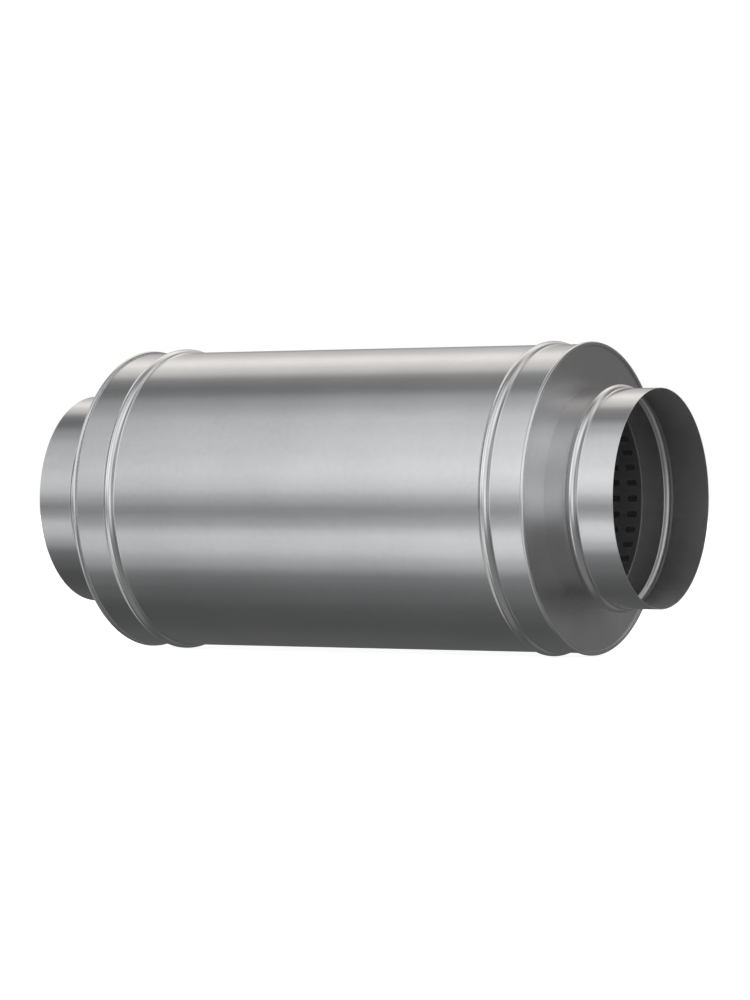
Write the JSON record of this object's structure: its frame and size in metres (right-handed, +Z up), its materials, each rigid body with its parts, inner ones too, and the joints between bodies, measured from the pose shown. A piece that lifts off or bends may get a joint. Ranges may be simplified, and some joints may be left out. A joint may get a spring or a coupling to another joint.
{
  "type": "duct sound attenuator",
  "caption": "Round galvanised duct silencer: a wool-packed casing with beads and closing rims, round a perforated duct path with a beaded spigot at each end.",
  "frame": {"origin": "middle of the duct axis, halfway between the two spigot mouths", "axes": "+X along the duct axis out of the right-hand spigot, +Z up as pictured, +Y away from the pictured side"},
  "size_m": [0.7646, 0.3609, 0.361],
  "materials": {
    "casing_sheet": "smooth galvanised sheet, soft sheen",
    "plate_sheet": "smooth galvanised sheet",
    "spigot_sheet": "smooth galvanised sheet, bright cut edge",
    "perforated_sheet": "galvanised perforated sheet",
    "fleece": "black glass fleece, matt",
    "mineral_wool": "yellow-brown mineral wool mat"
  },
  "bodies": {
    "root": {"casing": "casing_sheet", "end_plate_left": "plate_sheet", "end_plate_right": "plate_sheet", "spigot_left": "spigot_sheet", "spigot_right": "spigot_sheet", "perforated_liner": "perforated_sheet", "fleece_wrap": "fleece", "wool_packing": "mineral_wool"}
  },
  "joints": []
}
